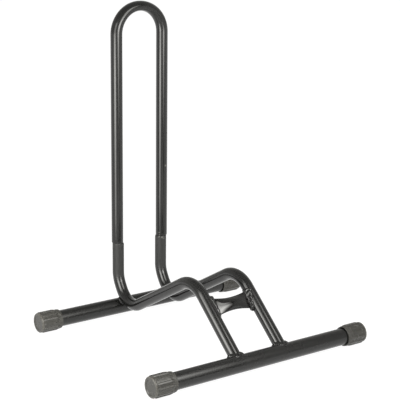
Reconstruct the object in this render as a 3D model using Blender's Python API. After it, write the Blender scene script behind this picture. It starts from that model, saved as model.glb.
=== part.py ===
"""Bike wheel stand: a welded frame of bent steel tube, a tall hoop that plugs onto it, and four end caps.

Metres, +Z up. X runs along the two base tubes, -Y is the low front where the wheel rolls in, and the
hoop stands at the back. The origin is on the floor, under the middle of the whole stand.
"""

from math import asin, atan2, ceil, cos, pi, radians, sin, sqrt, tan

import bmesh
import bpy
from mathutils import Vector

# Steel tube of the hoop, the bent tubes and the brace
TUBE_OD = 0.0200
TUBE_WALL = 0.0012
TUBE_SPACING = 0.0895          # between the axes of the two bent tubes

# Base tubes
BASE_OD = 0.0276
BASE_WALL = 0.0015
STAND_WIDTH = 0.4212           # over the end caps

# Side view of a bent tube, drawn by the corners where its straight runs would meet.
# Setbacks are measured backwards from the corner before, the first one from the front base tube.
KNEE_SETBACK = 0.1226
KNEE_HEIGHT = 0.1245
KNEE_RADIUS = 0.0500
HEEL_SETBACK = 0.1931
HEEL_HEIGHT = 0.0159
HEEL_RADIUS = 0.0416
UPRIGHT_SETBACK = 0.0316
UPRIGHT_HEIGHT = 0.0669
UPRIGHT_RADIUS = 0.0438
BEND_STEP = radians(9.5)       # one ring of the tube at least this often round a bend
BEND_ROOM = 0.98               # the most of a straight run that its two bends may take up

# Spigots and hoop
SHOULDER_HEIGHT = 0.1270       # where the bent tube starts to neck in
NECK_LENGTH = 0.0040
SPIGOT_LENGTH = 0.0450
SPIGOT_CLEARANCE = 0.0003      # to the bore of the hoop, all round
HOOP_SPREAD = 0.00145          # each hoop leg stands this far outboard of its bent tube
HOOP_HEIGHT = 0.5482           # top of the hoop above the floor

# Brace between the front legs, a piece of the same tube with its ends pressed flat
BRACE_HEIGHT = 0.0860
BRACE_END_THICKNESS = 0.0046
BRACE_MIDDLE_THICKNESS = 0.0150
BRACE_PRESSED_LENGTH = 0.0045  # fully flat at each end
BRACE_CROWN = 0.55             # how far the broad sides bulge, as a share of half the thickness less the wall
BRACE_STATIONS = 9             # from one flat to the other

# Ribbed plastic end caps
CAP_OD = 0.0357                # over the ribs
CAP_LENGTH = 0.0400
CAP_END_WALL = 0.0030
CAP_CHAMFER = 0.0016
CAP_SHOULDER_LENGTH = 0.0105   # smooth cone at the mouth
CAP_MOUTH_WALL = 0.0009
CAP_LEAD_IN = 0.0013           # the bore opens by this much at the mouth
CAP_LEAD_IN_LENGTH = 0.0060
CAP_RECESS_RADIUS = 0.0083
CAP_RECESS_DEPTH = 0.0008
RIB_COUNT = 12
RIB_HEIGHT = 0.0011
RIB_CREST = radians(13.0)      # angle that a rib's flat crest covers
RIB_ROOT = radians(20.0)       # angle that a rib covers at its root
RIB_FADE = 0.0022              # length over which a rib runs out at the cone

# Weld beads
REAR_BEAD_RADIUS = 0.0020
REAR_BEAD_LENGTH = 0.0150      # measured round the rear base tube
REAR_BEAD_TAPER = 0.85         # how much of its section a rear bead loses towards its ends
FOOT_FILLET = 0.0046
BRACE_FILLET = 0.0028
FILLET_CROWN = 0.80            # from a fillet's corner to the middle of its face, as a share of its leg
FLANK_LIMIT = 0.90             # how far round a leg a brace bead may lie, as a share of the radius

# Clearance that stands for two surfaces touching
SEAT_GAP = 0.0003

TUBE_SIDES = 20
ARC_STEPS = 5                  # of each arc of the brace's oval
BASE_SIDES = 32
BEAD_SIDES = 6
BEAD_STATIONS = 9
NECK_STEPS = 4
HALVINGS = 48                  # of the span in which the rear base tube's place is sought

# Sizes that follow
TUBE_R = TUBE_OD / 2
BASE_R = BASE_OD / 2
AXIS_HEIGHT = CAP_OD / 2       # a rib's flat crest stands on the floor
LEG_X = TUBE_SPACING / 2
HOOP_X = LEG_X + HOOP_SPREAD
HOOP_BORE_R = TUBE_R * cos(pi / TUBE_SIDES) - TUBE_WALL
SPIGOT_R = HOOP_BORE_R - SPIGOT_CLEARANCE
HOOP_BOTTOM = SHOULDER_HEIGHT + NECK_LENGTH + SEAT_GAP
CAP_BORE_R = (BASE_R + SEAT_GAP) / cos(pi / (4 * RIB_COUNT))
BASE_TUBE_LENGTH = STAND_WIDTH - 2 * (CAP_END_WALL + SEAT_GAP)

BLACK_GLOSS = ((0.028, 0.028, 0.027), 0.22)
BLACK_SATIN = ((0.030, 0.030, 0.030), 0.38)
CAP_PLASTIC = ((0.055, 0.054, 0.050), 0.55)

X_AXIS = Vector((1, 0, 0))
Y_AXIS = Vector((0, 1, 0))
Z_AXIS = Vector((0, 0, 1))


def clear_scene():
    for obj in list(bpy.data.objects):
        bpy.data.objects.remove(obj, do_unlink=True)


def make_material(name, finish):
    colour, roughness = finish
    mat = bpy.data.materials.new(name)
    mat.use_nodes = True
    shader = mat.node_tree.nodes["Principled BSDF"]
    shader.inputs["Base Color"].default_value = (*colour, 1.0)
    shader.inputs["Roughness"].default_value = roughness
    shader.inputs["Metallic"].default_value = 0.0
    mat.diffuse_color = (*colour, 1.0)
    return mat


def finish_mesh(bm, name):
    """Turns a bmesh into a mesh with outward faces and smooth round sides."""
    bmesh.ops.recalc_face_normals(bm, faces=bm.faces)
    mesh = bpy.data.meshes.new(name)
    bm.to_mesh(mesh)
    bm.free()
    mesh.shade_smooth()
    mesh.set_sharp_from_angle(angle=radians(35))
    return mesh


def place(mesh, name, location, parent, finish=BLACK_GLOSS, rotation=(0.0, 0.0, 0.0)):
    obj = bpy.data.objects.new(name, mesh)
    bpy.context.collection.objects.link(obj)
    obj.location = location
    obj.rotation_euler = rotation
    obj.parent = parent
    obj.data.materials.clear()
    obj.data.materials.append(make_material(name + "_finish", finish))
    return obj


def make_empty(name, location, parent=None):
    empty = bpy.data.objects.new(name, None)
    bpy.context.collection.objects.link(empty)
    empty.location = location
    empty.parent = parent
    return empty


def add_wall(obj, thickness):
    """Gives an open tube surface its wall, inwards."""
    wall = obj.modifiers.new("wall", "SOLIDIFY")
    wall.thickness = thickness
    wall.offset = -1.0
    wall.use_even_offset = True
    wall.use_rim = True


def cut_with(obj, cutter):
    cut = obj.modifiers.new("cope", "BOOLEAN")
    cut.operation = "DIFFERENCE"
    cut.solver = "EXACT"
    cut.object = cutter


def ring_of(bm, points):
    return [bm.verts.new(p) for p in points]


def circle_points(centre, direction, side, radius, count):
    """Points round a circle that stands square to direction; side fixes where the first ones lie."""
    direction = direction.normalized()
    across = side.cross(direction).normalized()
    beside = direction.cross(across)
    turns = [2 * pi * (k + 0.5) / count for k in range(count)]
    return [centre + radius * (cos(t) * beside + sin(t) * across) for t in turns]


def skin(bm, rings, looped=False, filled=False):
    """Faces between rings that follow each other, with the ends filled if asked."""
    pairs = list(zip(rings, rings[1:]))
    if looped:
        pairs.append((rings[-1], rings[0]))
    for lower, upper in pairs:
        count = len(lower)
        for k in range(count):
            nxt = (k + 1) % count
            bm.faces.new((lower[k], lower[nxt], upper[nxt], upper[k]))
    if filled:
        bm.faces.new(rings[0])
        bm.faces.new(rings[-1])


def swept_mesh(name, stations, side, sides, filled=False):
    """A tube surface through stations, each a centre, a direction and a radius."""
    bm = bmesh.new()
    rings = [ring_of(bm, circle_points(c, d, side, r, sides)) for c, d, r in stations]
    skin(bm, rings, filled=filled)
    return finish_mesh(bm, name)


def bend_tangents(corners, radii):
    """Distance from each inner corner to the ends of its bend, cut short where a run has no room."""
    tangents = [0.0]
    for before, corner, after, radius in zip(corners, corners[1:], corners[2:], radii):
        turn = (corner - before).angle(after - corner)
        tangents.append(radius * tan(turn / 2))
    tangents.append(0.0)
    fits = []
    for k in range(len(corners) - 1):
        run = (corners[k + 1] - corners[k]).length
        wanted = tangents[k] + tangents[k + 1]
        fits.append(min(1.0, BEND_ROOM * run / wanted) if wanted else 1.0)
    return [tangents[k] * min(fits[k - 1], fits[k]) for k in range(1, len(corners) - 1)]


def bent_path(corners, radii):
    """Centres and directions along straight runs joined by round bends."""
    tangents = bend_tangents(corners, radii)
    path = [(corners[0], (corners[1] - corners[0]).normalized())]
    for before, corner, after, tangent in zip(corners, corners[1:], corners[2:], tangents):
        arriving = (corner - before).normalized()
        leaving = (after - corner).normalized()
        turn = arriving.angle(leaving)
        radius = tangent / tan(turn / 2)
        inward = (leaving - arriving * cos(turn)).normalized()
        start = corner - arriving * tangent
        steps = ceil(turn / BEND_STEP)
        for k in range(steps + 1):
            angle = turn * k / steps
            centre = start + radius * (sin(angle) * arriving + (1 - cos(angle)) * inward)
            path.append((centre, cos(angle) * arriving + sin(angle) * inward))
    path.append((corners[-1], (corners[-1] - corners[-2]).normalized()))
    return path


def tube_corners():
    """Corners of a bent tube in its own frame, whose origin is on the front base tube's axis."""
    knee = Vector((0, KNEE_SETBACK, KNEE_HEIGHT - AXIS_HEIGHT))
    heel = Vector((0, knee.y + HEEL_SETBACK, HEEL_HEIGHT - AXIS_HEIGHT))
    bend = Vector((0, heel.y + UPRIGHT_SETBACK, UPRIGHT_HEIGHT - AXIS_HEIGHT))
    shoulder = Vector((0, bend.y, SHOULDER_HEIGHT - AXIS_HEIGHT))
    return [Vector((0, 0, 0)), knee, heel, bend, shoulder]


def distance_to_path(point, path):
    """Least distance from a point to the centre line of a tube."""
    least = None
    for (a, _), (b, _) in zip(path, path[1:]):
        run = b - a
        share = max(0.0, min(1.0, (point - a).dot(run) / run.length_squared))
        distance = (point - a - share * run).length
        if least is None or distance < least:
            least = distance
    return least


def rear_tube_setback(path, corners):
    """How far behind the front base tube the rear one lies when it just touches the bent tubes' heels."""
    touching = TUBE_R + BASE_R + SEAT_GAP
    near = corners[2].y
    far = near + HEEL_RADIUS + 2 * touching
    for _ in range(HALVINGS):
        middle = (near + far) / 2
        if distance_to_path(Vector((0, middle, 0)), path) < touching:
            near = middle
        else:
            far = middle
    return far


CORNERS = tube_corners()
TUBE_PATH = bent_path(CORNERS, (KNEE_RADIUS, HEEL_RADIUS, UPRIGHT_RADIUS))
BASE_SPACING = rear_tube_setback(TUBE_PATH, CORNERS)
FRONT_Y = -BASE_SPACING / 2
REAR_Y = BASE_SPACING / 2
UPRIGHT_Y = FRONT_Y + CORNERS[-1].y
LEG_DIRECTION = (CORNERS[1] - CORNERS[0]).normalized()


def make_base_tube(name, y, parent):
    half = BASE_TUBE_LENGTH / 2
    ends = [(X_AXIS * -half, X_AXIS, BASE_R), (X_AXIS * half, X_AXIS, BASE_R)]
    tube = place(swept_mesh(name, ends, Y_AXIS, BASE_SIDES), name, (0, y, AXIS_HEIGHT), parent, BLACK_SATIN)
    add_wall(tube, BASE_WALL)
    return tube


def neck_stations(top, outboard):
    """The swaged end of a bent tube: a rounded shoulder that necks in to the spigot."""
    stations = []
    for k in range(1, NECK_STEPS + 1):
        angle = pi / 2 * k / NECK_STEPS
        share = 1 - cos(angle)
        rise = Z_AXIS * NECK_LENGTH * sin(angle)
        shift = X_AXIS * outboard * HOOP_SPREAD * share
        stations.append((top + rise + shift, Z_AXIS, TUBE_R + (SPIGOT_R - TUBE_R) * share))
    spigot_foot = stations[-1][0]
    stations.append((spigot_foot + Z_AXIS * SPIGOT_LENGTH, Z_AXIS, SPIGOT_R))
    return stations


def make_bent_tube(name, outboard, cutter, parent):
    """outboard is -1 on the left and 1 on the right."""
    stations = [(centre, direction, TUBE_R) for centre, direction in TUBE_PATH]
    stations += neck_stations(TUBE_PATH[-1][0], outboard)
    mesh = swept_mesh(name, stations, X_AXIS, TUBE_SIDES)
    tube = place(mesh, name, (outboard * LEG_X, FRONT_Y, AXIS_HEIGHT), parent)
    add_wall(tube, TUBE_WALL)
    cut_with(tube, cutter)
    return tube


def make_foot_cutter(parent):
    """Stands where the front base tube is, a touch larger, and shapes the feet of the bent tubes."""
    name = "foot_cutter"
    half = LEG_X + TUBE_OD
    radius = BASE_R + SEAT_GAP
    ends = [(X_AXIS * -half, X_AXIS, radius), (X_AXIS * half, X_AXIS, radius)]
    mesh = swept_mesh(name, ends, Y_AXIS, BASE_SIDES, filled=True)
    cutter = place(mesh, name, (0, FRONT_Y, AXIS_HEIGHT), parent)
    cutter.hide_render = True
    cutter.display_type = "WIRE"
    return cutter


def make_hoop(parent):
    """Modelled about the point midway between its open lower ends."""
    top = HOOP_HEIGHT - TUBE_R - HOOP_BOTTOM
    arch_foot = top - HOOP_X
    stations = [(Vector((-HOOP_X, 0, 0)), Z_AXIS, TUBE_R)]
    steps = ceil(pi / BEND_STEP)
    for k in range(steps + 1):
        angle = pi * k / steps
        centre = Vector((-HOOP_X * cos(angle), 0, arch_foot + HOOP_X * sin(angle)))
        stations.append((centre, Vector((sin(angle), 0, cos(angle))), TUBE_R))
    stations.append((Vector((HOOP_X, 0, 0)), -Z_AXIS, TUBE_R))
    mesh = swept_mesh("upper_hoop", stations, Y_AXIS, TUBE_SIDES)
    hoop = place(mesh, "upper_hoop", (0, 0, 0), parent)
    add_wall(hoop, TUBE_WALL)
    return hoop


def pressed_width(thickness):
    """Width of the tube when it is pressed to a thickness, its girth unchanged."""
    return thickness + pi * (TUBE_OD - thickness) / 2


def pressed_section(x, thickness, grow=0.0):
    """An oval of four arcs across the brace: two low crowns over its broad sides and two round edges.

    Its long way is Y. The arcs run smoothly into each other, and grow moves them all outwards.
    """
    rise = BRACE_CROWN * (thickness / 2 - TUBE_WALL)
    edge_r = thickness / 2 - rise
    edge_y = pressed_width(thickness) / 2 - edge_r
    crown_drop = (edge_y ** 2 - rise ** 2) / (2 * rise)
    crown_r = thickness / 2 + crown_drop
    tilt = atan2(edge_y, crown_drop)
    arcs = (
        ((0, -crown_drop), crown_r, -tilt, tilt),
        ((edge_y, 0), edge_r, tilt, pi - tilt),
        ((0, crown_drop), crown_r, pi - tilt, pi + tilt),
        ((-edge_y, 0), edge_r, pi + tilt, 2 * pi - tilt),
    )
    points = []
    for (y, z), radius, start, end in arcs:
        for k in range(ARC_STEPS):
            angle = start + (end - start) * k / ARC_STEPS
            reach = radius + grow
            points.append(Vector((x, y + reach * sin(angle), z + reach * cos(angle))))
    return points


def brace_centre():
    """On the axis of the front legs, in the height that the brace has."""
    along = (BRACE_HEIGHT - AXIS_HEIGHT) / LEG_DIRECTION.z
    return Vector((0, FRONT_Y, AXIS_HEIGHT)) + LEG_DIRECTION * along


def leg_tilt():
    """Turns the brace and its beads so that their long way lies along the front legs."""
    return (asin(LEG_DIRECTION.z), 0.0, 0.0)


def make_brace(parent):
    half = LEG_X - TUBE_R - SEAT_GAP
    body = half - BRACE_PRESSED_LENGTH
    sections = [pressed_section(-half, BRACE_END_THICKNESS)]
    for k in range(BRACE_STATIONS):
        share = k / (BRACE_STATIONS - 1)
        swell = sin(pi * share)
        thickness = BRACE_END_THICKNESS + (BRACE_MIDDLE_THICKNESS - BRACE_END_THICKNESS) * swell
        sections.append(pressed_section(-body + 2 * body * share, thickness))
    sections.append(pressed_section(half, BRACE_END_THICKNESS))
    bm = bmesh.new()
    skin(bm, [ring_of(bm, section) for section in sections])
    mesh = finish_mesh(bm, "brace_tube")
    brace = place(mesh, "brace_tube", brace_centre(), parent, rotation=leg_tilt())
    add_wall(brace, TUBE_WALL)
    return brace


def make_brace_bead(name, side, parent):
    """A fillet round the pressed end of the brace; side is -1 on the left and 1 on the right."""
    bm = bmesh.new()
    seat = TUBE_R + SEAT_GAP

    def leg_face(point, x_back):
        """Moves a point of the section onto the leg, x_back short of it."""
        reach = sqrt(seat ** 2 - min(abs(point.z), FLANK_LIMIT * seat) ** 2)
        return Vector((side * (LEG_X - reach - x_back), point.y, point.z))

    crown = FILLET_CROWN * BRACE_FILLET / sqrt(2)
    inner = pressed_section(0, BRACE_END_THICKNESS, SEAT_GAP)
    middle = pressed_section(0, BRACE_END_THICKNESS, SEAT_GAP + crown)
    outer = pressed_section(0, BRACE_END_THICKNESS, SEAT_GAP + BRACE_FILLET)
    loops = [
        [leg_face(p, 0) for p in inner],
        [leg_face(p, 0) for p in outer],
        [leg_face(p, crown) for p in middle],
        [leg_face(p, BRACE_FILLET) for p in inner],
    ]
    skin(bm, [ring_of(bm, loop) for loop in loops], looped=True)
    return place(finish_mesh(bm, name), name, brace_centre(), parent, rotation=leg_tilt())


def make_foot_bead(name, outboard, parent):
    """A fillet round the coped foot of a bent tube, in the bent tube's frame."""
    up = LEG_DIRECTION
    across = X_AXIS.cross(up)
    saddle = BASE_R + SEAT_GAP
    corner_r = TUBE_R + SEAT_GAP
    sections = [[], [], [], []]
    for k in range(TUBE_SIDES):
        angle = 2 * pi * k / TUBE_SIDES
        radial = cos(angle) * X_AXIS + sin(angle) * across
        rise = sqrt(saddle ** 2 - (corner_r * sin(angle)) ** 2)
        corner = corner_r * radial + rise * up
        normal = Vector((0, corner.y, corner.z)).normalized()
        out = (radial - radial.dot(normal) * normal).normalized()
        toe = corner + FOOT_FILLET * out
        toe_normal = Vector((0, toe.y, toe.z)).normalized()
        toe = Vector((toe.x, 0, 0)) + saddle * toe_normal
        top = corner + FOOT_FILLET * up
        crown = corner + FILLET_CROWN * FOOT_FILLET * (up + out).normalized()
        for section, point in zip(sections, (corner, toe, crown, top)):
            section.append(point)
    bm = bmesh.new()
    skin(bm, [ring_of(bm, section) for section in sections], looped=True)
    return place(finish_mesh(bm, name), name, (outboard * LEG_X, FRONT_Y, AXIS_HEIGHT), parent)


def make_rear_bead(name, outboard, side, parent):
    """A bead in the wedge beside a bent tube, where it lies against the rear base tube.

    Its centre keeps one distance from each of the two tubes' axes, and its ends run out thin.
    """
    rear = Vector((0, BASE_SPACING, 0))
    to_base = BASE_R + SEAT_GAP + REAR_BEAD_RADIUS
    to_tube = TUBE_R + SEAT_GAP + REAR_BEAD_RADIUS
    heel = min(TUBE_PATH, key=lambda station: (station[0] - rear).length)[0]
    up = (heel - rear).normalized()
    along = X_AXIS.cross(up)
    centres = []
    for k in range(BEAD_STATIONS):
        share = 2 * k / (BEAD_STATIONS - 1) - 1
        angle = share * REAR_BEAD_LENGTH / (2 * to_base)
        on_base = rear + to_base * (cos(angle) * up + sin(angle) * along)
        beside = sqrt(max(0.0, to_tube ** 2 - distance_to_path(on_base, TUBE_PATH) ** 2))
        centres.append((on_base + X_AXIS * side * beside, share))
    stations = []
    for k, (centre, share) in enumerate(centres):
        before = centres[max(k - 1, 0)][0]
        after = centres[min(k + 1, len(centres) - 1)][0]
        radius = REAR_BEAD_RADIUS * sqrt(1 - REAR_BEAD_TAPER * share ** 2)
        stations.append((centre, after - before, radius))
    mesh = swept_mesh(name, stations, up, BEAD_SIDES, filled=True)
    return place(mesh, name, (outboard * LEG_X, FRONT_Y, AXIS_HEIGHT), parent)


def cap_ring(x, radius, groove=0.0):
    """Points round a cap at x; groove is how deep the valleys between the ribs are there."""
    points = []
    crest_r = radius / cos(RIB_CREST / 2)
    for rib in range(RIB_COUNT):
        middle = 2 * pi * rib / RIB_COUNT - pi / 2
        for turn, r in ((-RIB_CREST / 2, crest_r), (RIB_CREST / 2, crest_r),
                        (RIB_ROOT / 2, crest_r - groove),
                        (2 * pi / RIB_COUNT - RIB_ROOT / 2, crest_r - groove)):
            points.append(Vector((x, r * cos(middle + turn), r * sin(middle + turn))))
    return points


def round_ring(x, radius):
    """Points evenly round a cap's bore or recess, in the same number as cap_ring."""
    count = 4 * RIB_COUNT
    turns = [2 * pi * (k - 0.5) / count - pi / 2 for k in range(count)]
    return [Vector((x, radius * cos(t), radius * sin(t))) for t in turns]


def make_cap_mesh():
    """A cap about its closed face, which looks along +X; its mouth looks along -X."""
    rib_end = -(CAP_LENGTH - CAP_SHOULDER_LENGTH)
    outer = CAP_OD / 2
    mouth = BASE_R + SEAT_GAP + CAP_LEAD_IN
    loops = [
        round_ring(-CAP_RECESS_DEPTH, CAP_RECESS_RADIUS),
        round_ring(0, CAP_RECESS_RADIUS + CAP_RECESS_DEPTH),
        cap_ring(0, outer - CAP_CHAMFER),
        cap_ring(-CAP_CHAMFER, outer, RIB_HEIGHT),
        cap_ring(rib_end + RIB_FADE, outer, RIB_HEIGHT),
        cap_ring(rib_end, outer - RIB_HEIGHT / 2),
        round_ring(-CAP_LENGTH, mouth + CAP_MOUTH_WALL),
        round_ring(-CAP_LENGTH, mouth),
        round_ring(CAP_LEAD_IN_LENGTH - CAP_LENGTH, CAP_BORE_R),
        round_ring(-CAP_END_WALL, CAP_BORE_R),
    ]
    bm = bmesh.new()
    skin(bm, [ring_of(bm, loop) for loop in loops], filled=True)
    return finish_mesh(bm, "end_cap")


def build():
    clear_scene()
    frame = make_empty("stand_frame", (0, 0, 0))
    hoop_slide = make_empty("hoop_slide", (0, UPRIGHT_Y, HOOP_BOTTOM), frame)

    make_base_tube("rear_base_tube", REAR_Y, frame)
    make_base_tube("front_base_tube", FRONT_Y, frame)
    cutter = make_foot_cutter(frame)
    make_hoop(hoop_slide)
    make_brace(frame)

    for word, outboard in (("left", -1), ("right", 1)):
        make_bent_tube(word + "_bent_tube", outboard, cutter, frame)
        make_foot_bead("front_" + word + "_weld", outboard, frame)
        make_brace_bead("brace_" + word + "_weld", outboard, frame)
        make_rear_bead("rear_" + word + "_outer_weld", outboard, outboard, frame)
        make_rear_bead("rear_" + word + "_inner_weld", outboard, -outboard, frame)

    for row, y in (("rear", REAR_Y), ("front", FRONT_Y)):
        for word, outboard in (("left", -1), ("right", 1)):
            turn = pi if outboard < 0 else 0.0
            location = (outboard * STAND_WIDTH / 2, y, AXIS_HEIGHT)
            place(make_cap_mesh(), row + "_" + word + "_cap", location, frame, CAP_PLASTIC, (0, 0, turn))


build()
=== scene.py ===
import bpy
import numpy as np
from mathutils import Matrix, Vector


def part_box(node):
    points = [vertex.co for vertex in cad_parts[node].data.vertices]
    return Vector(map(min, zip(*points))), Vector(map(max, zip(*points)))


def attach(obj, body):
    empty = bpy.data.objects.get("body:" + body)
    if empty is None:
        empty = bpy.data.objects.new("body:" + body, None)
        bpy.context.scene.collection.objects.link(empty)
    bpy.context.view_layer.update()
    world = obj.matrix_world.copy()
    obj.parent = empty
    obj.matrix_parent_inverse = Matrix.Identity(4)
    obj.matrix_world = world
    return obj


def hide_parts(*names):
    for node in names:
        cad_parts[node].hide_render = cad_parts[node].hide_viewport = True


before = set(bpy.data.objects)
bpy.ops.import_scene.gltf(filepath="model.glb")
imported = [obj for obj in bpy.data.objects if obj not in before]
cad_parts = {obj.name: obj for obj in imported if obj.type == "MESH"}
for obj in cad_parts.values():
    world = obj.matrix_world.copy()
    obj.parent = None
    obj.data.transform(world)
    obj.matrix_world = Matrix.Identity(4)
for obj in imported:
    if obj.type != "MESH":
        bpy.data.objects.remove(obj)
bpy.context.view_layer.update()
scene = bpy.context.scene
mm = 0.001


# Camera: it stands in front of the stand and to its left, a little above it

view = dict(
    azimuth=-36.225, elevation=14.308, roll=0.635,    # degrees
    distance=2132.0,                                  # mm from the camera to the origin, along its own axis
    imagePixels=400, focalPixels=1269.2,
    originPixel=(198.13, 337.40),                     # where the middle of the stand's floor area is seen
    sensor=36.0)                                      # mm


def makeCamera():
    # back points from the stand to the camera; right and up are turned about it by roll, and the camera then
    # stands where the origin falls on its pixel
    azimuth, elevation, roll = np.radians([view["azimuth"], view["elevation"], view["roll"]])
    level = np.array([np.sin(azimuth), -np.cos(azimuth), 0])
    back = np.cos(elevation) * level + np.sin(elevation) * np.array([0, 0, 1])
    right = np.array([np.cos(azimuth), np.sin(azimuth), 0])
    up = np.cross(back, right)
    axes = np.array([np.cos(roll) * right + np.sin(roll) * up,
                     np.cos(roll) * up - np.sin(roll) * right, back])
    fromMiddle = (np.array(view["originPixel"]) - view["imagePixels"] / 2) / view["focalPixels"]
    origin = view["distance"] * np.array([fromMiddle[0], -fromMiddle[1], -1])
    camera = bpy.data.objects.new("camera", bpy.data.cameras.new("camera"))
    camera.matrix_world = Matrix.Translation(axes.T @ -origin * mm) @ Matrix(axes.T.tolist()).to_4x4()
    camera.data.sensor_width = view["sensor"]
    camera.data.lens = view["sensor"] * view["focalPixels"] / view["imagePixels"]
    scene.collection.objects.link(camera)
    scene.camera = camera


makeCamera()
print("scene: camera placed")


# Shapes that several pieces share

def smoothStep(x, start, end):
    # 0 before start, 1 after end, an S curve between them
    t = np.clip((x - start) / (end - start), 0, 1)
    return t * t * (3 - 2 * t)


def bentLine(corners, radii, step):
    # straight runs joined by round bends, which have a point at least every step degrees. A bend starts
    # radius * tan(half its turn) before its corner. Returns points and directions.
    corners = np.asarray(corners, float)
    points, directions = [corners[:1]], []
    for before, corner, after, radius in zip(corners, corners[1:], corners[2:], radii):
        arriving = (corner - before) / np.linalg.norm(corner - before)
        leaving = (after - corner) / np.linalg.norm(after - corner)
        turn = np.arccos(arriving @ leaving)
        inward = (leaving - arriving * np.cos(turn)) / np.sin(turn)
        angle = np.linspace(0, turn, int(np.degrees(turn) / step) + 2)[:, None]
        start = corner - arriving * radius * np.tan(turn / 2)
        points.append(start + radius * (np.sin(angle) * arriving + (1 - np.cos(angle)) * inward))
        directions.append(np.cos(angle) * arriving + np.sin(angle) * inward)
    points.append(corners[-1:])
    return np.vstack(points), np.vstack([directions[0][:1], *directions, directions[-1][-1:]])


def denser(points, directions, longest):
    # the same line with points added where two neighbours lie more than longest apart
    lengths = np.linalg.norm(np.diff(points, axis=0), axis=1)
    along = np.concatenate([[0], np.cumsum(lengths)])
    wanted = [np.linspace(a, b, int((b - a) / longest) + 1, endpoint=False) for a, b in zip(along, along[1:])]
    wanted = np.concatenate([*wanted, along[-1:]])
    newPoints, newDirections = (np.stack([np.interp(wanted, along, values[:, k]) for k in range(3)], 1)
                                for values in (points, directions))
    return newPoints, newDirections / np.linalg.norm(newDirections, axis=1, keepdims=True)


def rings(points, directions, radii, side, sides, flat=0.0):
    # grid[u, v] = point u + radius u * (cos v * side + sin v * across), with across square to the line and to
    # side; flat is the share of its size across that a bend has taken, and toSides of it went to the sides
    toSides = 0.75
    turn = np.linspace(0, 2 * np.pi, sides, endpoint=False)[None, :, None]
    across = np.cross(directions, side)
    across /= np.linalg.norm(across, axis=1, keepdims=True)
    radii, flat = (np.broadcast_to(values, len(points))[:, None, None] for values in (radii, flat))
    return points[:, None] + radii * ((1 + toSides * flat) * np.cos(turn) * np.asarray(side)
                                      + (1 - flat) * np.sin(turn) * across[:, None])


def endRim(point, direction, inwards, radius, wall, rounding, side, sides):
    # a cut tube end from its outer wall to its bore: two quarter circles with a flat land between them;
    # direction is the tube line's, and inwards is 1 where the tube follows the end, -1 where it comes before
    ringsPerEdge = 5
    turn = np.linspace(0, np.pi / 2, ringsPerEdge)
    depth = rounding * (1 - np.sin(turn))
    drop = rounding * (1 - np.cos(turn))
    depths = np.concatenate([depth, depth[::-1]])
    radii = np.concatenate([radius - drop, (radius - wall + drop)[::-1]])
    centres = point + inwards * depths[:, None] * direction
    return rings(centres, np.repeat([direction], len(centres), 0), radii, side, sides)


def openTube(points, directions, size, side, flat=0.0):
    # a tube with two cut ends: outer wall one way, rim, bore back, rim, so the surface closes on itself
    radius, wall, sides = size["diameter"] / 2, size["wall"], size["sides"]
    run = (points[1:-1], directions[1:-1])
    cut = (radius, wall, size["edgeRound"], side, sides)
    return np.vstack([
        rings(*run, radius, side, sides, flat),
        endRim(points[-1], directions[-1], -1, *cut),
        rings(*run, radius - wall, side, sides, flat)[::-1],
        endRim(points[0], directions[0], 1, *cut)[::-1]])


def surface(name, grid, wrapRows=False, poles=None):
    # quads between neighbouring grid points, closed round v; wrapRows joins the last row to the first,
    # and otherwise poles holds the two points that close the ends with fans of triangles
    rows, columns = grid.shape[:2]
    r, c = np.meshgrid(np.arange(rows if wrapRows else rows - 1), np.arange(columns), indexing="ij")
    below, beside = (r + 1) % rows, (c + 1) % columns
    quads = np.stack([r * columns + c, below * columns + c,
                      below * columns + beside, r * columns + beside], -1)
    points, faces = grid.reshape(-1, 3), quads.reshape(-1, 4).tolist()
    if poles is not None:
        edge = np.arange(columns)
        first = np.stack([np.full(columns, rows * columns), edge, np.roll(edge, -1)], 1)
        last = np.stack([np.full(columns, rows * columns + 1), np.roll(edge, -1), edge], 1)
        last[:, 1:] += (rows - 1) * columns
        faces += first.tolist() + last.tolist()
        points = np.vstack([points, poles])
    mesh = bpy.data.meshes.new(name)
    mesh.from_pydata((points * mm).tolist(), [], faces)
    a, b, c, d = (points[quads.reshape(-1, 4)[:, k]] for k in range(4))
    middle = points.mean(0)
    if (np.cross(c - a, d - b) * (a - middle)).sum() < 0:    # a volume below zero: the faces look inwards
        mesh.flip_normals()
    mesh.shade_smooth()
    return mesh


def addPiece(name, mesh, material, body, node):
    # an object at the origin that stands for the CAD node
    piece = bpy.data.objects.new(name, mesh)
    scene.collection.objects.link(piece)
    mesh.materials.append(material)
    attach(piece, body)
    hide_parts(node)


def middleOf(node):
    # half way between the lowest and highest corner, mm
    low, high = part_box(node)
    return np.array((low + high) / 2) / mm


# Materials

def linear(hexColour):
    # sRGB hex to linear light, as RGBA
    values = np.array([int(hexColour[k:k + 2], 16) for k in (1, 3, 5)]) / 255
    values = np.where(values <= 0.04045, values / 12.92, ((values + 0.055) / 1.055) ** 2.4)
    return (*values.tolist(), 1.0)


def addNode(tree, kind, inputs=None, stops=(), **settings):
    # inputs: a socket is linked, anything else is set. stops: a colour ramp's (position from 0 to 1, grey
    # level), in order of position.
    node = tree.nodes.new(kind)
    for key, value in settings.items():
        setattr(node, key, value)
    for key, value in (inputs or {}).items():
        if isinstance(value, bpy.types.NodeSocket):
            tree.links.new(value, node.inputs[key])
        else:
            node.inputs[key].default_value = value
    for _ in stops[2:]:
        node.color_ramp.elements.new(0.5)
    for k, (position, grey) in enumerate(stops):
        node.color_ramp.elements[k].position = position
        node.color_ramp.elements[k].color = (grey, grey, grey, 1)
    return node


def newMaterial(name):
    # a material with its node tree, its shader and the object's own coordinates
    material = bpy.data.materials.new(name)
    material.use_nodes = True
    tree = material.node_tree
    place = addNode(tree, "ShaderNodeTexCoord").outputs["Object"]
    return material, tree, tree.nodes["Principled BSDF"], place


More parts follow.
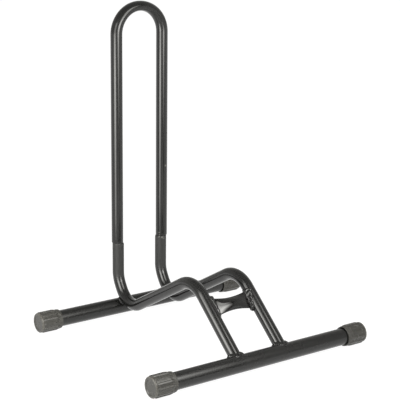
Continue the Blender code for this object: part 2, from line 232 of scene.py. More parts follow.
def perMetre(size):
    # noise scale whose features are about size millimetres
    return 1 / (size * mm)


noiseSpan = {"From Min": 0.3, "From Max": 0.7}         # nearly all of a noise lies between these
powderCoat = dict(
    dark="#0f0f0e", light="#141413", cloud=45.0,       # shade drifts a little, over some centimetres
    peel=2.4, peelDepth=0.003,                         # orange peel of a baked powder, mm
    gloss=(0.15, 0.21), satin=(0.24, 0.30),            # least and most roughness of each finish
    pressed=(0.09, 0.12), weld=(0.11, 0.17),
    dulled=0.33, uprightPaintedSheen="#20201f",                 # added on the two uprights: roughness, and a lighter colour that is painted sheen
    dullFrom=62.0, dullTo=80.0, dullBehind=140.0,      # heights and place of the duller uprights with their painted sheen, mm
    ior=1.5)
softPvc = dict(
    dark="#302f2c", light="#3d3c38", cloud=8.0,        # mm
    grain=1.8, grainDepth=0.03,                        # mm; the real grain is finer, this is what shows
    roughness=(0.22, 0.30), shoulderRoughness=0.28,    # the second is added where the cap tapers to its mouth
    # lighter colour in scuff-like patches round the cap's face edge: a painted highlight where the rounded
    # edge catches the light
    scuffAndSheen="#4f4d48", scuffAndSheenPatch=3.0, scuffAndSheenSpan=(0.15, 0.5),
    ior=1.48)
chip = dict(
    colour="#5a5955", ragged=1.0, bareTo=0.7, paintFrom=1.2,    # mm, and shares of a chip's reach
    # x, y, z and reach, mm: two on the end of the hoop's right leg, one halfway up it, three under that end
    onHoop=[(37.8, 172.2, 131.9, 1.3), (37.6, 172.5, 136.5, 1.2), (47.8, 167.8, 258.1, 1.6)],
    onFrame=[(37.1, 171.4, 129.6, 1.3), (41.6, 168.4, 127.6, 1.5), (45.1, 167.7, 125.9, 1.2)])


def chipped(tree, place, colour, places):
    # small spots where the paint has come off down to the grey under it: bare where the distance to the
    # spot's middle is less than its reach, measured from a place that noise has shaken, so the edge is ragged
    shake = addNode(tree, "ShaderNodeTexNoise",
                    {"Vector": place, "Scale": perMetre(chip["ragged"]), "Detail": 2.0}).outputs["Color"]
    shift = addNode(tree, "ShaderNodeVectorMath", {0: shake, 1: (0.5, 0.5, 0.5)}, operation="SUBTRACT")
    moved = addNode(tree, "ShaderNodeVectorMath",
                    {0: shift.outputs[0], 1: (2 * chip["ragged"] * mm,) * 3, 2: place},
                    operation="MULTIPLY_ADD")
    for *centre, reach in places:
        distance = addNode(tree, "ShaderNodeVectorMath",
                           {0: moved.outputs[0], 1: tuple(np.array(centre) * mm)}, operation="DISTANCE")
        bare = addNode(tree, "ShaderNodeMapRange",
                       {"Value": distance.outputs["Value"], "From Min": chip["paintFrom"] * reach * mm,
                        "From Max": chip["bareTo"] * reach * mm})
        colour = addNode(tree, "ShaderNodeMix", {"Factor": bare.outputs["Result"], "A": colour.outputs[2],
                                                 "B": linear(chip["colour"])}, data_type="RGBA")
    return colour


def makePowderCoat(name, finish, dulled=0.0, chips=()):
    # polyester powder coat on steel, sprayed and baked: a deep black with clear reflections, which the
    # orange peel makes slightly soft and wavy. dulled is how much rougher it is on the uprights, which show
    # hardly any highlight although the hoop right above them does; there the colour is also lifted to a
    # lighter grey, a painted sheen that stands in for the broad grey reflection the uprights show.
    material, tree, shader, place = newMaterial(name)
    cloud = addNode(tree, "ShaderNodeTexNoise",
                    {"Vector": place, "Scale": perMetre(powderCoat["cloud"]), "Detail": 3.0}).outputs["Fac"]
    colour = addNode(tree, "ShaderNodeMix", {"Factor": cloud, "A": linear(powderCoat["dark"]),
                                             "B": linear(powderCoat["light"])}, data_type="RGBA")
    rough = addNode(tree, "ShaderNodeMapRange",
                    {"Value": cloud, **noiseSpan, "To Min": finish[0], "To Max": finish[1]})
    peel = addNode(tree, "ShaderNodeTexNoise",
                   {"Vector": place, "Scale": perMetre(powderCoat["peel"]), "Detail": 1.0}).outputs["Fac"]
    bump = addNode(tree, "ShaderNodeBump",
                   {"Height": peel, "Distance": powderCoat["peelDepth"] * mm, "Strength": 1.0})
    roughness = rough.outputs["Result"]
    if dulled:
        split = addNode(tree, "ShaderNodeSeparateXYZ", {"Vector": place})
        above = addNode(tree, "ShaderNodeMapRange",
                        {"Value": split.outputs["Z"], "From Min": powderCoat["dullFrom"] * mm,
                         "From Max": powderCoat["dullTo"] * mm}, interpolation_type="SMOOTHSTEP")
        behind = addNode(tree, "ShaderNodeMath",
                         {0: split.outputs["Y"], 1: powderCoat["dullBehind"] * mm}, operation="GREATER_THAN")
        share = addNode(tree, "ShaderNodeMath", {0: above.outputs["Result"], 1: behind.outputs[0]},
                        operation="MULTIPLY")
        roughness = addNode(tree, "ShaderNodeMath", {0: share.outputs[0], 1: dulled, 2: roughness},
                            operation="MULTIPLY_ADD").outputs[0]
        # painted sheen: on the uprights the colour is lifted to a lighter grey
        colour = addNode(tree, "ShaderNodeMix", {"Factor": share.outputs[0], "A": colour.outputs[2],
                                                 "B": linear(powderCoat["uprightPaintedSheen"])}, data_type="RGBA")
    colour = chipped(tree, place, colour, chips)
    tree.links.new(colour.outputs[2], shader.inputs["Base Color"])
    tree.links.new(roughness, shader.inputs["Roughness"])
    tree.links.new(bump.outputs["Normal"], shader.inputs["Normal"])
    shader.inputs["IOR"].default_value = powderCoat["ior"]
    return material


def makeCapPlastic():
    # soft PVC, moulded: a warm grey black whose sheen the mould's uneven grain breaks up; lighter in
    # scuff-like patches round the edge of the closed face, a painted highlight where that edge catches the
    # light; duller on the shoulder, where the piece's own attributes say
    material, tree, shader, place = newMaterial("mouldedSoftPvc")
    cloud = addNode(tree, "ShaderNodeTexNoise",
                    {"Vector": place, "Scale": perMetre(softPvc["cloud"]), "Detail": 4.0}).outputs["Fac"]
    colour = addNode(tree, "ShaderNodeMix", {"Factor": cloud, "A": linear(softPvc["dark"]),
                                             "B": linear(softPvc["light"])}, data_type="RGBA")
    patch = addNode(tree, "ShaderNodeTexNoise",
                    {"Vector": place, "Scale": perMetre(softPvc["scuffAndSheenPatch"]), "Detail": 3.0}).outputs["Fac"]
    scuffAndSheenPatches = addNode(tree, "ShaderNodeMapRange", {"Value": patch, "From Min": softPvc["scuffAndSheenSpan"][0],
                                                   "From Max": softPvc["scuffAndSheenSpan"][1]})
    edge = addNode(tree, "ShaderNodeAttribute", attribute_name="edgeScuffAndSheen").outputs["Fac"]
    scuffAndSheenShare = addNode(tree, "ShaderNodeMath", {0: scuffAndSheenPatches.outputs["Result"], 1: edge}, operation="MULTIPLY")
    # painted highlight: lighter in scuff-like patches round the face's edge
    colour = addNode(tree, "ShaderNodeMix", {"Factor": scuffAndSheenShare.outputs[0], "A": colour.outputs[2],
                                             "B": linear(softPvc["scuffAndSheen"])}, data_type="RGBA")
    rough = addNode(tree, "ShaderNodeMapRange",
                    {"Value": cloud, **noiseSpan, "To Min": softPvc["roughness"][0],
                     "To Max": softPvc["roughness"][1]})
    shoulder = addNode(tree, "ShaderNodeAttribute", attribute_name="shoulder").outputs["Fac"]
    duller = addNode(tree, "ShaderNodeMath",
                     {0: shoulder, 1: softPvc["shoulderRoughness"], 2: rough.outputs["Result"]},
                     operation="MULTIPLY_ADD")
    grain = addNode(tree, "ShaderNodeTexNoise",
                    {"Vector": place, "Scale": perMetre(softPvc["grain"]), "Detail": 2.0}).outputs["Fac"]
    bump = addNode(tree, "ShaderNodeBump",
                   {"Height": grain, "Distance": softPvc["grainDepth"] * mm, "Strength": 1.0})
    tree.links.new(colour.outputs[2], shader.inputs["Base Color"])
    tree.links.new(duller.outputs[0], shader.inputs["Roughness"])
    tree.links.new(bump.outputs["Normal"], shader.inputs["Normal"])
    shader.inputs["IOR"].default_value = softPvc["ior"]
    return material


glossPaint = makePowderCoat("glossPowderCoat", powderCoat["gloss"], chips=chip["onHoop"])
framePaint = makePowderCoat("glossPowderCoatOnFrame", powderCoat["gloss"], powderCoat["dulled"],
                            chip["onFrame"])
bracePaint = makePowderCoat("glossPowderCoatOnPressedTube", powderCoat["pressed"])
satinPaint = makePowderCoat("satinPowderCoat", powderCoat["satin"])
weldPaint = makePowderCoat("powderCoatOverWeld", powderCoat["weld"])
capPlastic = makeCapPlastic()
print("scene: materials made")


# Base tubes, which carry everything else

baseTube = dict(diameter=27.6, wall=1.5, sides=96, edgeRound=0.3, longestRun=10.0)    # mm
frontAxis, rearAxis = middleOf("front_base_tube"), middleOf("rear_base_tube")


def makeBaseTube(node, piece):
    # an open tube on one straight line along X
    low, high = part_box(node)
    axis = middleOf(node)
    ends = np.array([[low.x / mm, axis[1], axis[2]], [high.x / mm, axis[1], axis[2]]])
    points, directions = denser(ends, np.array([[1.0, 0, 0]] * 2), baseTube["longestRun"])
    grid = openTube(points, directions, baseTube, (0, 1, 0))
    addPiece(piece, surface(piece, grid, wrapRows=True), satinPaint, "stand", node)


makeBaseTube("front_base_tube", "frontBaseTube")
makeBaseTube("rear_base_tube", "rearBaseTube")
print("scene: base tubes made")


# Steel tube of the hoop, the two bent tubes and the brace

tube = dict(
    diameter=20.0, wall=1.2, edgeRound=0.35, longestRun=8.0,    # mm
    sides=72, bendStep=2.0)                                     # the second in degrees
hoop = dict(
    halfWidth=46.2, top=548.2,                        # mm, to the middle of a leg, and to the top unflattened
    flattened=0.15,                                   # share of the diameter, at the very top
    straight=0.01)                                    # mm of level run left between the two quarter bends


def makeHoop():
    # an open tube on two legs and a half circle, flattened by the square of how level its line runs
    low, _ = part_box("upper_hoop")
    y, bottom = middleOf("upper_hoop")[1], low.z / mm
    half, top = hoop["halfWidth"], hoop["top"] - tube["diameter"] / 2
    corners = [(-half, y, bottom), (-half, y, top), (half, y, top), (half, y, bottom)]
    bends = [half - hoop["straight"]] * 2
    points, directions = denser(*bentLine(corners, bends, tube["bendStep"]), tube["longestRun"])
    flat = hoop["flattened"] * directions[1:-1, 0] ** 2
    mesh = surface("hoopTube", openTube(points, directions, tube, (0, 1, 0), flat), wrapRows=True)
    addPiece("hoopTube", mesh, glossPaint, "hoop", "upper_hoop")


makeHoop()
print("scene: hoop made")


# Bent tubes: foot on the front base tube, up the leg, down the ramp, round the heel, up to the spigot

bentTube = dict(
    # mm; a corner is given by its distance behind the front axis and its height above the floor
    halfSpacing=44.75,
    knee=(122.6, 124.5), kneeRadius=50.0,
    heel=(315.7, 15.9), heelRadius=41.6,
    upright=(347.3, 66.9), uprightRadius=43.8,
    shoulder=127.0, neck=4.0, neckRings=12,           # height of the tube's full size, and the neck above it
    spigotRadius=8.38, spigotLength=45.0, spigotRings=6,
    spread=1.45,                                      # how much further outboard the spigot stands
    footBlend=6.0, footRings=3)                       # how far up the cut foot turns into plain rings


def bentTubeLine():
    # the tube's middle line at x = 0, from the front base tube's axis to the shoulder
    y, foot = frontAxis[1], frontAxis[2]
    sideView = [(0, foot), bentTube["knee"], bentTube["heel"], bentTube["upright"],
                (bentTube["upright"][0], bentTube["shoulder"])]
    corners = [(0, y + back, height) for back, height in sideView]
    bends = [bentTube["kneeRadius"], bentTube["heelRadius"], bentTube["uprightRadius"]]
    return bentLine(corners, bends, tube["bendStep"])


linePoints, lineDirections = bentTubeLine()
legDirection = lineDirections[0]
legNormal = np.cross((1, 0, 0), legDirection)         # looks forwards and up, square to the legs


def saddle(radius, turn):
    # distance along the leg at which its wall meets the base tube: the root of base radius squared less the
    # wall's distance from the plane through both axes, squared
    return np.sqrt((baseTube["diameter"] / 2) ** 2 - (radius * np.sin(turn)) ** 2)


def tubeSkin(points, directions, radii):
    # rings along the tube, and before them rows that blend from the saddle on the base tube to the first ring
    grid = rings(points, directions, radii, (1, 0, 0), tube["sides"])
    turn = np.linspace(0, 2 * np.pi, tube["sides"], endpoint=False)
    share = np.linspace(0, 1, bentTube["footRings"] + 1)[:-1, None]
    reach = np.linalg.norm(points[0] - linePoints[0])
    along = saddle(np.ravel(radii)[0], turn) * (1 - share) + reach * share
    foot = grid[:1] + (along - reach)[..., None] * legDirection
    return np.vstack([foot, grid])


def makeBentTube(node, piece, outboard):
    # skin from foot to spigot and bore back; outboard is -1 on the left and 1 on the right
    radius, wall = tube["diameter"] / 2, tube["wall"]
    points, directions = denser(linePoints, lineDirections, tube["longestRun"])
    reach = baseTube["diameter"] / 2 + bentTube["footBlend"]
    kept = np.linalg.norm(points - linePoints[0], axis=1) > reach
    points = np.vstack([linePoints[0] + reach * legDirection, points[kept]])
    directions = np.vstack([legDirection, directions[kept]])
    # the neck is a quarter of an ellipse from the shoulder to the spigot, whose axis lies further outboard
    turn = np.linspace(0, np.pi / 2, bentTube["neckRings"] + 1)[1:, None]
    share = 1 - np.cos(turn)
    outwards = np.array([outboard * bentTube["spread"], 0, 0])
    neck = points[-1] + bentTube["neck"] * np.sin(turn) * (0, 0, 1) + share * outwards
    rise = np.linspace(0, bentTube["spigotLength"], bentTube["spigotRings"] + 1)[1:, None]
    spigot = neck[-1] + rise * (0, 0, 1)
    upwards = np.repeat([[0.0, 0, 1]], len(neck) + len(spigot), 0)
    radii = np.concatenate([np.full(len(points), radius),
                            radius + (bentTube["spigotRadius"] - radius) * share[:, 0],
                            np.full(len(spigot), bentTube["spigotRadius"])])
    points, directions = np.vstack([points, neck, spigot]), np.vstack([directions, upwards])
    run = (points[:-1], directions[:-1])
    grid = np.vstack([
        tubeSkin(*run, radii[:-1]),
        endRim(points[-1], directions[-1], -1, radii[-1], wall, tube["edgeRound"], (1, 0, 0), tube["sides"]),
        tubeSkin(*run, radii[:-1] - wall)[::-1]])
    grid = grid + (outboard * bentTube["halfSpacing"], 0, 0)
    addPiece(piece, surface(piece, grid, wrapRows=True), framePaint, "stand", node)


makeBentTube("left_bent_tube", "leftBentTube", -1)
makeBentTube("right_bent_tube", "rightBentTube", 1)
print("scene: bent tubes made")


# Brace: a short piece of the same tube, its ends pressed flat

brace = dict(
    endThickness=4.6, middleThickness=15.0, pressed=4.5,    # mm; the last is the length pressed fully flat
    crown=0.55,                                             # rise of a broad side, see pressedOval
    turned=11.5,                                            # degrees by which the ends face further forwards
    arcSteps=36, stations=72)
braceMiddle = middleOf("brace_tube")


def braceFrame(x, along, out):
    # a point of the brace: x across the stand, along the legs' direction, out square to the legs
    x, along, out = np.broadcast_arrays(x, along, out)
    return (braceMiddle + x[..., None] * (1, 0, 0) + along[..., None] * legDirection
            + out[..., None] * legNormal)


def pressedOval(thickness, grow=0.0):
    # the tube's round section pressed to an oval of four arcs that run smoothly into each other: a low crown
    # over each broad side, which rises by a share of half the thickness less the wall, and two round edges.
    # Its girth stays the tube's, so the width grows by pi / 2 of what the thickness loses. Gives each point's
    # place along the legs and square to them, and the angle that the oval faces there.
    thickness = np.atleast_1d(thickness)
    width = thickness + np.pi * (tube["diameter"] - thickness) / 2
    rise = brace["crown"] * (thickness / 2 - tube["wall"])
    edge = thickness / 2 - rise
    edgeAlong = width / 2 - edge
    drop = (edgeAlong ** 2 - rise ** 2) / (2 * rise)
    crown = thickness / 2 + drop
    tilt = np.arctan2(edgeAlong, drop)
    none = 0 * tilt

    def overArcs(*values):
        # one value for each arc, repeated for every point of that arc
        return np.repeat(np.concatenate(values, -1), brace["arcSteps"], -1)

    share = np.tile(np.arange(brace["arcSteps"]) / brace["arcSteps"], 4)
    turned = overArcs(2 * tilt, np.pi - 2 * tilt, 2 * tilt, np.pi - 2 * tilt)
    angle = overArcs(-tilt, tilt, np.pi - tilt, np.pi + tilt) + turned * share
    reach = overArcs(crown, edge, crown, edge) + grow
    along = overArcs(none, edgeAlong, none, -edgeAlong) + reach * np.sin(angle)
    out = overArcs(-drop, none, drop, none) + reach * np.cos(angle)
    return along, out, angle


def turnedOval(thickness, pressedShare, grow=0.0):
    # the pressed oval, turned about the brace's own axis so that its flat faces further forwards
    along, out, _ = pressedOval(thickness, grow)
    angle = np.radians(brace["turned"]) * pressedShare
    return along * np.cos(angle) - out * np.sin(angle), along * np.sin(angle) + out * np.cos(angle)


def makeBrace():
    # skin and bore are one oval, whose thickness swells from the pressed ends by a quarter of a cosine wave
    low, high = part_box("brace_tube")
    half = (high.x - low.x) / mm / 2
    x = np.linspace(-half, half, brace["stations"])[:, None]
    swell = np.cos(np.pi / 2 * np.clip(np.abs(x) / (half - brace["pressed"]), 0, 1))
    thickness = brace["endThickness"] + (brace["middleThickness"] - brace["endThickness"]) * swell
    skin = braceFrame(x, *turnedOval(thickness, 1 - swell))
    bore = braceFrame(x, *turnedOval(thickness, 1 - swell, -tube["wall"]))
    mesh = surface("braceTube", np.vstack([skin, bore[::-1]]), wrapRows=True)
    addPiece("braceTube", mesh, bracePaint, "stand", "brace_tube")


makeBrace()
print("scene: brace made")


# Weld beads, with the ripples that the torch leaves

bead = dict(
    # mm: a leg runs from root to toe, a pitch is one ripple's length, a ripple its height; a crown is 0.5 for
    # a flat face and more for a swelling one
    footLeg=4.8, footPitch=4.2, footRipple=0.80, footCrown=0.66,
    braceLeg=4.8, bracePitch=5.2, braceRipple=1.25, braceCrown=0.86,
    rearRadius=2.6, rearLength=15.0, rearPitch=2.4, rearRipple=0.50,
    rearStandOff=0.6, rearTaper=0.99,       # shares: of its radius off both tubes, and lost at the very ends
    footLonger=1.15,                        # the foot's bead goes round outside the tube's own wall
    bow=0.8,                                # ripples that the middle of a ridge lies behind its toes
    sink=0.35,                              # mm that the hidden back dips into the steel
    sides=288, profile=14, rearStations=97, rearSides=48)


def waver(at, *waves):
    # 1 plus sine waves, each given by its height, how fast it comes round and where it starts
    return 1 + sum(height * np.sin(pace * at + start) for height, pace, start in waves)


def ripples(travel, share, height):
    # travel counts ripples along the bead, share runs across it: ridges by the size of a cosine, so round
    # with sharp valleys, bowed in the middle, uneven in height along the bead, and gone at both toes
    bow = bead["bow"] * (1 - (2 * share - 1) ** 2)
    ridge = np.abs(np.cos(np.pi * (travel - bow)))
    uneven = waver(travel, (0.3, 0.61, 1), (0.2, 1.37, 2))
    return height * ridge * uneven * np.sqrt(np.clip(4 * share * (1 - share), 0, 1))


def filletBead(root, onFirst, onSecond, lift, count, height, crown):
    # a fillet along the closed line root, from its toe on one tube to its toe on the other: a parabola whose
    # corner lies out from the root by crown of both legs, raised by the ripples along lift, and a hidden back
    share = np.linspace(0, 1, bead["profile"])[:, None, None]
    travel = np.linspace(0, count, root.shape[0], endpoint=False)[None, :]
    corner = root + crown * (onFirst - root + onSecond - root)
    face = (1 - share) ** 2 * onFirst + 2 * share * (1 - share) * corner + share ** 2 * onSecond
    face = face + ripples(travel, share[..., 0], height)[..., None] * lift
    back = np.stack([onSecond, root, onFirst]) - bead["sink"] * lift
    return np.vstack([face, back])


def unit(vectors):
    # each divided by its own length
    return vectors / np.linalg.norm(vectors, axis=-1, keepdims=True)


def makeFootBead(node, piece, outboard):
    # root: where the leg's wall meets the base tube. One toe is up the leg, the other out over the base tube.
    turn = np.linspace(0, 2 * np.pi, bead["sides"], endpoint=False)
    radius, baseRadius = tube["diameter"] / 2, baseTube["diameter"] / 2
    across = np.cross(legDirection, (1, 0, 0))
    radial = np.cos(turn)[:, None] * (1, 0, 0) + np.sin(turn)[:, None] * across
    root = radius * radial + saddle(radius, turn)[:, None] * legDirection
    size = bead["footLeg"] * waver(turn, (0.07, 2, 0.7), (0.05, 5, outboard))[:, None]
    normal = unit(root * (0, 1, 1))
    out = unit(radial - (radial * normal).sum(1, keepdims=True) * normal)
    toe = root + size * out
    toe = toe * (1, 0, 0) + baseRadius * unit(toe * (0, 1, 1))
    count = round(2 * np.pi * radius * bead["footLonger"] / bead["footPitch"])
    grid = filletBead(root, root + size * legDirection, toe, unit(radial + normal), count,
                      bead["footRipple"], bead["footCrown"])
    grid = grid + frontAxis * (0, 1, 1) + (outboard * bentTube["halfSpacing"], 0, 0)
    addPiece(piece, surface(piece, grid, wrapRows=True), weldPaint, "stand", node)


def makeBraceBead(node, piece, outboard):
    # root: where the pressed end meets the leg. One toe spreads over the leg, the other along the brace.
    legX, radius = bentTube["halfSpacing"], tube["diameter"] / 2
    turn = pressedOval(brace["endThickness"])[2]
    size = bead["braceLeg"] * waver(turn, (0.08, 3, outboard), (0.06, 7, 0))
    widest = 0.95 * radius

    def onLeg(grow):
        # x is the leg's axis less the root of radius squared less out squared, out kept short of the radius
        along, out = turnedOval(brace["endThickness"], 1, grow)
        return along, out, legX - np.sqrt(radius ** 2 - np.clip(out, -widest, widest) ** 2)

    along, out, x = onLeg(0)
    root = braceFrame(outboard * x, along, out)
    onBrace = braceFrame(outboard * (x - size), along, out)
    wideAlong, wideOut, wideX = onLeg(size)
    spread = braceFrame(outboard * wideX, wideAlong, wideOut)
    lift = unit(unit(spread - root) + (-outboard, 0, 0))
    count = round(np.pi * tube["diameter"] / bead["bracePitch"])
    grid = filletBead(root, onBrace, spread, lift, count, bead["braceRipple"], bead["braceCrown"])
    addPiece(piece, surface(piece, grid, wrapRows=True), weldPaint, "stand", node)


def distanceToLine(points):
    # least distance from each point to the bent tube's middle line
    starts, runs = linePoints[:-1], np.diff(linePoints, axis=0)
    share = ((points[:, None] - starts) * runs).sum(-1) / (runs ** 2).sum(-1)
    nearest = starts + np.clip(share, 0, 1)[..., None] * runs
    return np.linalg.norm(points[:, None] - nearest, axis=-1).min(1)


def makeRearBead(node, piece, outboard, side):
    # a bead in the wedge beside the bent tube: its middle line stands off both tubes' walls by the same, and
    # its radius falls off towards both ends by the root of 1 less the fourth power
    radius = bead["rearRadius"]
    toBase = baseTube["diameter"] / 2 + bead["rearStandOff"] * radius
    toTube = tube["diameter"] / 2 + bead["rearStandOff"] * radius
    rear = rearAxis * (0, 1, 1)
    heel = linePoints[np.argmin(np.linalg.norm(linePoints - rear, axis=1))]
    up = unit(heel - rear)
    along = np.cross((1, 0, 0), up)
    share = np.linspace(-1, 1, bead["rearStations"])
    angle = share * bead["rearLength"] / (2 * toBase)
    onBase = rear + toBase * (np.cos(angle)[:, None] * up + np.sin(angle)[:, None] * along)
    beside = np.sqrt(np.maximum(toTube ** 2 - distanceToLine(onBase) ** 2, 0))
    points = onBase + (side * beside)[:, None] * (1, 0, 0)
    directions = unit(np.gradient(points, axis=0))
    travel = (share + 1) / 2 * bead["rearLength"] / bead["rearPitch"]
    radii = radius * np.sqrt(1 - bead["rearTaper"] * share ** 4) - bead["rearRipple"]
    radii = radii + ripples(travel, np.full_like(share, 0.5), bead["rearRipple"])
    across = unit(np.cross(directions, np.cross(up, directions)))
    turn = np.linspace(0, 2 * np.pi, bead["rearSides"], endpoint=False)[None, :, None]
    lift = unit(np.cross(across, directions))
    ring = np.cos(turn) * across[:, None] + np.sin(turn) * lift[:, None]
    grid = points[:, None] + radii[:, None, None] * ring
    centre = (outboard * bentTube["halfSpacing"], 0, 0)
    poles = np.array([points[0], points[-1]]) + centre
    addPiece(piece, surface(piece, grid + centre, poles=poles), weldPaint, "stand", node)


for word, outboard in (("left", -1), ("right", 1)):
    makeFootBead("front_" + word + "_weld", word + "FootWeld", outboard)
    makeBraceBead("brace_" + word + "_weld", word + "BraceWeld", outboard)
    makeRearBead("rear_" + word + "_outer_weld", word + "RearOuterWeld", outboard, outboard)
    makeRearBead("rear_" + word + "_inner_weld", word + "RearInnerWeld", outboard, -outboard)
print("scene: weld beads made")


# End caps, pushed over the ends of the base tubes

capShape = dict(
    # mm; ribStart and ribStop are measured from the face and from the mouth
    outerRadius=17.85, length=40.0, endWall=3.0, edgeRound=3.4, shoulder=10.5, shoulderRound=6.0,
    mouthWall=0.9, mouthRound=0.4, boreGap=0.3, leadIn=1.1, leadInLength=6.0, leadInRound=3.0,
    bottomRound=0.8, recessRadius=11.6, recessDepth=0.9, fineRound=0.3,
    ribs=12, ribHeight=1.3, ribCrown=0.35, ribWidth=5.1, ribFlank=0.8, ribStart=3.2, ribStop=4.5,
    reliefStart=0.2,                             # nearer to the face, the ground between ribs isn't lower
    scuffAndSheenFace=(1.1, 0.6), scuffAndSheenSide=(0.6, 1.3),    # where the scuff-like painted edge highlight sets in and fades, in edge rounds
    sidesPerRib=28, longestRun=0.7, bendStep=8.0, poleRadius=0.5)


def capProfile():
    # (depth from the closed face, radius) from the middle of the face over the outside to the end of the bore
    s = capShape
    bore = baseTube["diameter"] / 2 + s["boreGap"]
    mouth = bore + s["leadIn"]
    corners = [
        (s["recessDepth"], s["poleRadius"], 0), (s["recessDepth"], s["recessRadius"], 0),
        (0, s["recessRadius"] + s["recessDepth"], 0), (0, s["outerRadius"], 0),
        (s["length"] - s["shoulder"], s["outerRadius"], 0), (s["length"], mouth + s["mouthWall"], 0),
        (s["length"], mouth, 0), (s["length"] - s["leadInLength"], bore, 0), (s["endWall"], bore, 0),
        (s["endWall"], s["poleRadius"], 0)]
    bends = [s["fineRound"], s["fineRound"], s["edgeRound"], s["shoulderRound"], s["mouthRound"],
             s["fineRound"], s["leadInRound"], s["bottomRound"]]
    points, directions = bentLine(corners, bends, s["bendStep"])
    points, directions = denser(points, directions, s["longestRun"])
    return points[:, 0], points[:, 1]


def makeCap(node, piece, outboard):
    # radius(depth, turn) = profile(depth), less the rib height wherever the point lies off a rib.
    # A rib is a stretched disc: off is the distance from its middle line, its crest falls away by the square
    # of that, and beyond half its width it drops over a soft flank.
    s = capShape
    axis = middleOf(node)
    face = axis[0] + outboard * s["length"] / 2
    depth, radius = capProfile()
    sides = s["ribs"] * s["sidesPerRib"]
    turn = np.linspace(0, 2 * np.pi, sides, endpoint=False)
    ribStep = 2 * np.pi / s["ribs"]
    aside = (np.abs((turn + np.pi / 2 + ribStep / 2) % ribStep - ribStep / 2) * s["outerRadius"])[None, :]
    first, last = s["ribStart"], s["length"] - s["ribStop"]
    beyond = np.maximum(np.maximum(first + s["ribWidth"] / 2 - depth, depth - last + s["ribWidth"] / 2), 0)
    off = np.hypot(aside, beyond[:, None])
    offRib = smoothStep(off, s["ribWidth"] / 2 - s["ribFlank"], s["ribWidth"] / 2 + s["ribFlank"] / 2)
    outer = np.arange(len(depth)) < int(np.argmax(depth))
    ribbed = outer * smoothStep(depth, s["reliefStart"], s["edgeRound"])
    ribbed = ribbed * (1 - smoothStep(depth, last - s["ribWidth"] / 2, last + s["ribWidth"] / 3))
    crown = s["ribCrown"] * np.minimum(2 * off / s["ribWidth"], 1) ** 2
    r = radius[:, None] - (s["ribHeight"] * offRib + crown * (1 - offRib)) * ribbed[:, None]
    x = np.broadcast_to(face - outboard * depth[:, None], r.shape)
    grid = np.stack([x, axis[1] + r * np.cos(turn), axis[2] + r * np.sin(turn)], -1)
    poles = [(face - outboard * depth[k], axis[1], axis[2]) for k in (0, -1)]
    mesh = surface(piece, grid, poles=poles)
    # painted highlight in scuff-like patches over the rounding between the face and the outside, on the
    # outside only
    onFace, onSide = ([share * s["edgeRound"] for share in s[key]] for key in ("scuffAndSheenFace", "scuffAndSheenSide"))
    scuffAndSheen = outer * smoothStep(radius, s["outerRadius"] - onFace[0], s["outerRadius"] - onFace[1])
    scuffAndSheen = scuffAndSheen * (1 - smoothStep(depth, *onSide))
    shoulder = outer * smoothStep(depth, s["length"] - s["shoulder"], s["length"] - s["shoulder"] / 2)
    for name, values in (("edgeScuffAndSheen", scuffAndSheen), ("shoulder", shoulder)):
        attribute = mesh.attributes.new(name, "FLOAT", "POINT")
        attribute.data.foreach_set("value", np.append(np.repeat(values, sides), [0, 0]))
    addPiece(piece, mesh, capPlastic, "stand", node)


for row in ("rear", "front"):
    for word, outboard in (("left", -1), ("right", 1)):
        makeCap(row + "_" + word + "_cap", row + word.capitalize() + "Cap", outboard)
print("scene: caps made")


# Studio: a pale table lit from below, a graded room, two soft boxes that draw the long highlights and a
# reflector in front

studio = dict(
    floor="#6c6c6a", floorGlow=0.93, floorRoughness=0.9, floorSheen=0.1,    # an opal sheet, lit from below
    floorSize=30.0,                                                         # metres
    fibre=3.0, fibreDepth=0.02, fibreStrength=0.3,                          # mm, mm and a share
    cloth="#fffefa", room="#fffefb",
    # by degrees above level
    roomGlow={-90: 0.69, -30: 1.29, -15: 0.74, 0: 0.63, 25: 0.68, 50: 0.47, 90: 0.45})
softBoxes = [
    # metres and degrees: turn runs from facing the back to facing left, tip is how far the face looks down,
    # lean turns the box in its own plane; left and right are half widths to the middle of the faded border,
    # which reaches edge further both ways, and glow goes by height on the cloth
    dict(name="leftSoftBox", centre=(-0.594, -0.119, 0.374), turn=-65.0, tip=-3.5, lean=4.1,
         left=0.132, right=0.165, edge=0.197,
         glow={-0.65: 0.0, -0.45: 5.1, -0.25: 7.7, -0.05: 14.9, 0.15: 4.7, 0.45: 6.1}),
    dict(name="frontSoftBox", centre=(0.05, -0.599, 0.653), turn=20.6, tip=13.2, lean=16.4,
         left=0.180, right=0.200, edge=0.187,
         glow={-0.80: 3.5, -0.55: 0.0, -0.35: 6.0, -0.15: 16.6, 0.1: 5.1, 0.3: 8.4, 0.45: 0.0}),
    dict(name="frontReflector", centre=(0.466, -1.291, 0.996), turn=3.3, tip=62.7, lean=0.0,
         left=0.42, right=0.42, edge=0.03,
         glow={-1.0: 1.7, -0.8: 1.5, -0.4: 0.8, 0.0: 0.4, 0.4: 0.4, 0.8: 0.0})]


def addSheet(name, left, right, low, high, material):
    # one flat rectangle in the object's own XY plane, as part of the stage
    mesh = bpy.data.meshes.new(name)
    mesh.from_pydata([(left, low, 0), (right, low, 0), (right, high, 0), (left, high, 0)], [], [(0, 1, 2, 3)])
    mesh.materials.append(material)
    sheet = bpy.data.objects.new(name, mesh)
    scene.collection.objects.link(sheet)
    return sheet


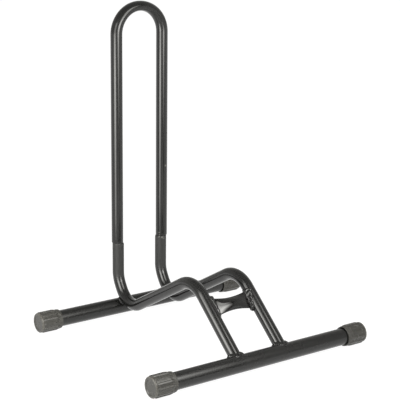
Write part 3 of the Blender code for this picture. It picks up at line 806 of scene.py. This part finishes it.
def makeFloor():
    # an opal sheet with a matt face: little colour of its own, a faint fibre and an even glow from below
    material, tree, shader, place = newMaterial("matteOpalTable")
    fibre = addNode(tree, "ShaderNodeTexNoise",
                    {"Vector": place, "Scale": perMetre(studio["fibre"]), "Detail": 2.0})
    bump = addNode(tree, "ShaderNodeBump",
                   {"Height": fibre.outputs["Fac"], "Distance": studio["fibreDepth"] * mm,
                    "Strength": studio["fibreStrength"]})
    tree.links.new(bump.outputs["Normal"], shader.inputs["Normal"])
    shader.inputs["Base Color"].default_value = linear(studio["floor"])
    shader.inputs["Roughness"].default_value = studio["floorRoughness"]
    shader.inputs["Specular IOR Level"].default_value = studio["floorSheen"]
    shader.inputs["Emission Color"].default_value = (1, 1, 1, 1)
    shader.inputs["Emission Strength"].default_value = studio["floorGlow"]
    half = studio["floorSize"] / 2
    addSheet("floor", -half, half, -half, half, material)


def makeSurround():
    # the room is graded from below to overhead, by half of 1 plus the sine of the angle above level; only the
    # camera sees it plain white behind the table
    world = bpy.data.worlds.new("studio")
    world.use_nodes = True
    tree = world.node_tree
    background = tree.nodes["Background"]
    direction = addNode(tree, "ShaderNodeTexCoord").outputs["Generated"]
    height = addNode(tree, "ShaderNodeSeparateXYZ", {"Vector": direction}).outputs["Z"]
    share = addNode(tree, "ShaderNodeMapRange", {"Value": height, "From Min": -1.0})
    most = max(studio["roomGlow"].values())
    stops = [((1 + np.sin(np.radians(above))) / 2, glow / most) for above, glow in studio["roomGlow"].items()]
    ramp = addNode(tree, "ShaderNodeValToRGB", {"Fac": share.outputs["Result"]}, stops)
    graded = addNode(tree, "ShaderNodeMath", {0: ramp.outputs["Color"], 1: most}, operation="MULTIPLY")
    seen = addNode(tree, "ShaderNodeLightPath").outputs["Is Camera Ray"]
    strength = addNode(tree, "ShaderNodeMath", {0: graded.outputs[0], 1: seen}, operation="MAXIMUM")
    tree.links.new(strength.outputs[0], background.inputs["Strength"])
    background.inputs["Color"].default_value = linear(studio["room"])
    scene.world = world


def makeSoftBox(spec):
    # a glowing cloth: its light fades towards both sides and changes with height, as the lamp behind it does
    low, high, most = min(spec["glow"]), max(spec["glow"]), max(spec["glow"].values())
    material, tree, _, place = newMaterial(spec["name"] + "Cloth")
    split = addNode(tree, "ShaderNodeSeparateXYZ", {"Vector": place})
    share = 1.0
    for side, half in ((-1, spec["left"]), (1, spec["right"])):
        fade = addNode(tree, "ShaderNodeMapRange",
                       {"Value": split.outputs["X"], "From Min": side * (half - spec["edge"]),
                        "From Max": side * (half + spec["edge"]), "To Min": 1.0, "To Max": 0.0},
                       interpolation_type="SMOOTHSTEP")
        share = addNode(tree, "ShaderNodeMath", {0: fade.outputs["Result"], 1: share},
                        operation="MULTIPLY").outputs[0]
    height = addNode(tree, "ShaderNodeMapRange",
                     {"Value": split.outputs["Y"], "From Min": low, "From Max": high})
    stops = [((at - low) / (high - low), glow / most) for at, glow in spec["glow"].items()]
    ramp = addNode(tree, "ShaderNodeValToRGB", {"Fac": height.outputs["Result"]}, stops)
    graded = addNode(tree, "ShaderNodeMath", {0: ramp.outputs["Color"], 1: share}, operation="MULTIPLY")
    glow = addNode(tree, "ShaderNodeMath", {0: graded.outputs[0], 1: most}, operation="MULTIPLY")
    cloth = addNode(tree, "ShaderNodeEmission",
                    {"Color": linear(studio["cloth"]), "Strength": glow.outputs[0]})
    tree.links.new(cloth.outputs[0], tree.nodes["Material Output"].inputs["Surface"])
    left, right = spec["left"] + spec["edge"], spec["right"] + spec["edge"]
    box = addSheet(spec["name"], -left, right, low, high, material)
    box.matrix_world = (Matrix.Translation(spec["centre"])
                        @ Matrix.Rotation(np.radians(spec["turn"] + 180), 4, "Z")
                        @ Matrix.Rotation(np.radians(90 + spec["tip"]), 4, "X")
                        @ Matrix.Rotation(np.radians(spec["lean"]), 4, "Z"))
    box.visible_camera = False


makeFloor()
makeSurround()
for spec in softBoxes:
    makeSoftBox(spec)
scene.view_settings.view_transform = "Standard"
print("scene: studio made")
